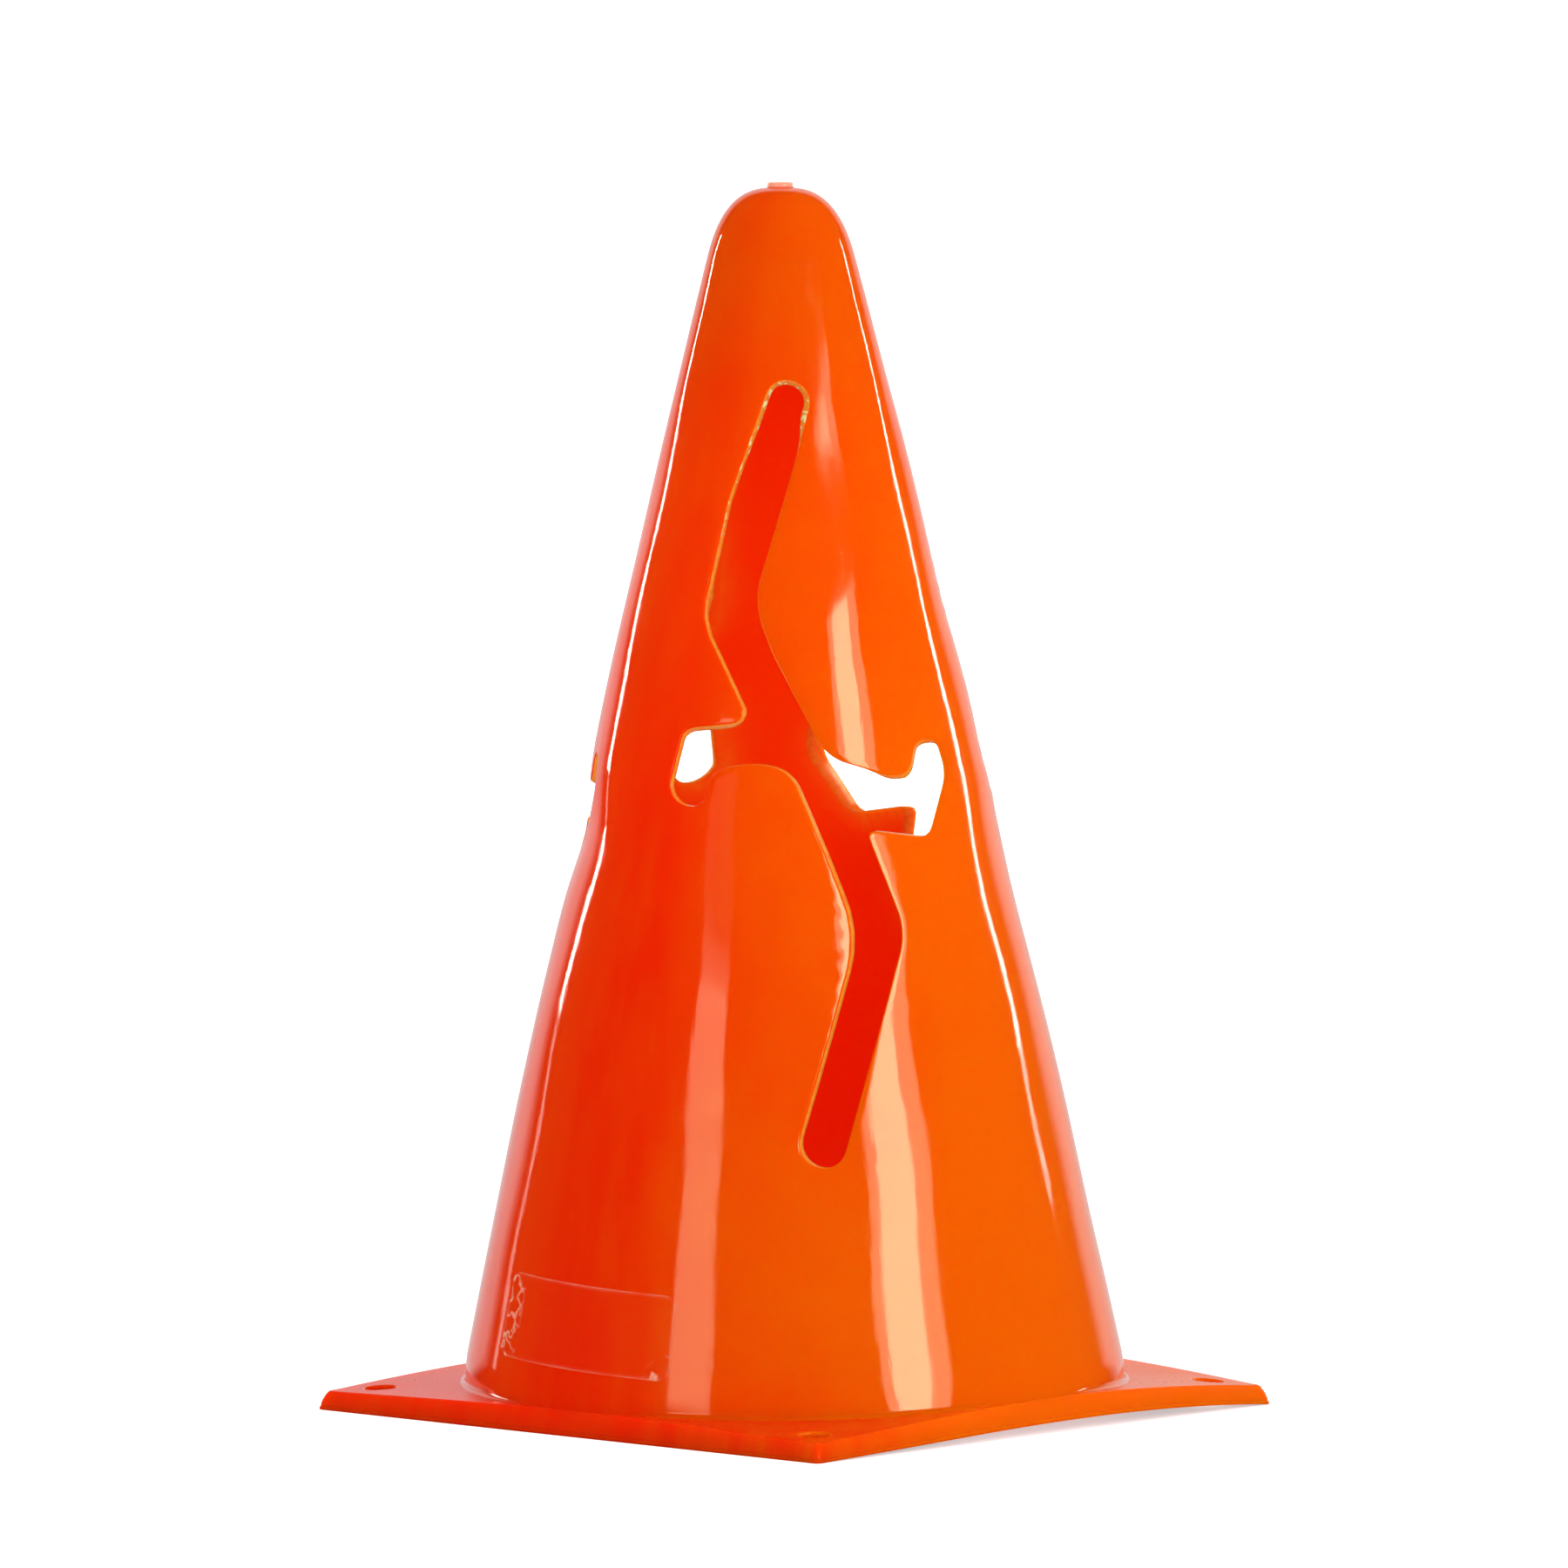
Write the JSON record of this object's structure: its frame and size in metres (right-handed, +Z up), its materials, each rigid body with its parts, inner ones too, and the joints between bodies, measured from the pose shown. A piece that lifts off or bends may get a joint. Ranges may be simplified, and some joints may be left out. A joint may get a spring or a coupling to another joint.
{
  "type": "sports marker cone",
  "caption": "Hollow marker cone with a square foot, a domed tip, branching slots that let it collapse, corner holes and a blank clear label.",
  "frame": {"origin": "on the ground under the tip, at the middle of the square foot", "axes": "+Z up along the cone's axis; the foot's sides run along X and Y; the label faces -Y"},
  "size_m": [0.127, 0.127, 0.23],
  "materials": {
    "cone": "glossy soft orange plastic, slightly translucent",
    "label": "clear self-adhesive film, blank"
  },
  "bodies": {
    "root": {"cone": "cone", "label": "label"}
  },
  "joints": []
}
